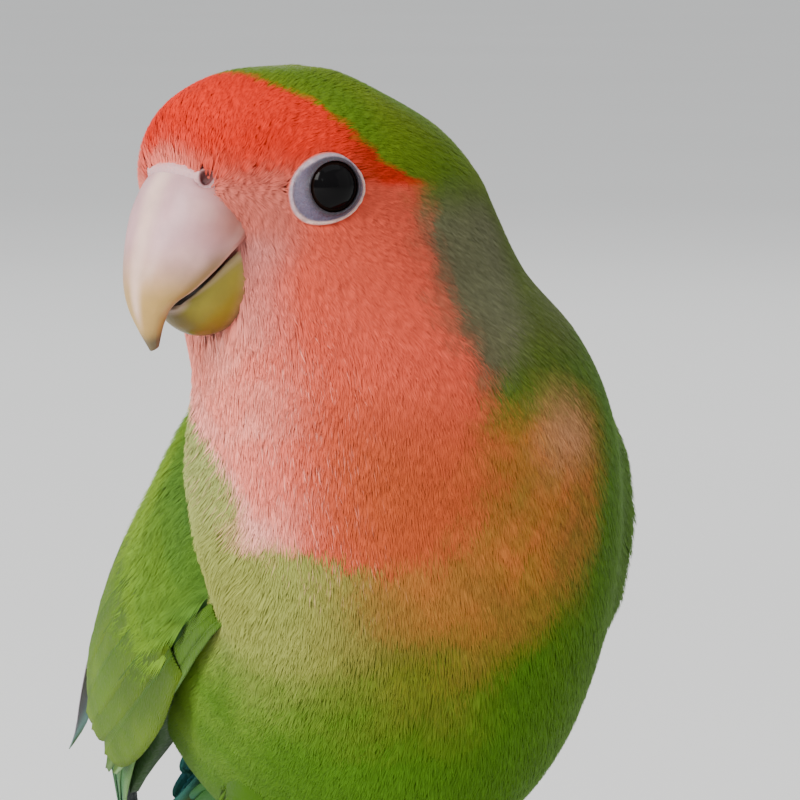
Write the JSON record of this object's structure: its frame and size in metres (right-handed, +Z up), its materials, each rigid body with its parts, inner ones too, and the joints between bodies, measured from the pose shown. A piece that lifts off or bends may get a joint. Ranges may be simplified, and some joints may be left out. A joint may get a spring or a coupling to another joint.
{
  "type": "peach-faced lovebird",
  "caption": "Life-size still model of a small parrot standing on the floor, head turned to its right, wings folded over its back and a short square tail.",
  "frame": {"origin": "on the floor, under the middle of the part's bounding box", "axes": "-Y is the way the bird's body faces, +X is the bird's left, +Z is up"},
  "size_m": [0.0573, 0.1093, 0.1069],
  "materials": {
    "body_feathers": "soft feathers",
    "breast_feathers": "soft feathers",
    "face_feathers": "soft feathers",
    "wing_feathers": "smooth feathers",
    "tail_feathers": "smooth feathers",
    "upper_horn": "smooth horn",
    "lower_horn": "smooth horn",
    "eye": "wet",
    "scaled_skin": "scaly skin",
    "claw_horn": "horn"
  },
  "bodies": {
    "root": {"torso": "body_feathers", "neck": "breast_feathers", "head": "face_feathers", "beak_upper": "upper_horn", "beak_lower": "lower_horn", "eye_left": "eye", "eye_right": "eye", "wing_left": "wing_feathers", "wing_right": "wing_feathers", "tail": "tail_feathers", "thigh_left": "body_feathers", "thigh_right": "body_feathers", "foot_left": "scaled_skin", "foot_right": "scaled_skin", "claw_left_inner_front": "claw_horn", "claw_left_outer_front": "claw_horn", "claw_left_inner_hind": "claw_horn", "claw_left_outer_hind": "claw_horn", "claw_right_inner_front": "claw_horn", "claw_right_outer_front": "claw_horn", "claw_right_inner_hind": "claw_horn", "claw_right_outer_hind": "claw_horn"}
  },
  "joints": []
}
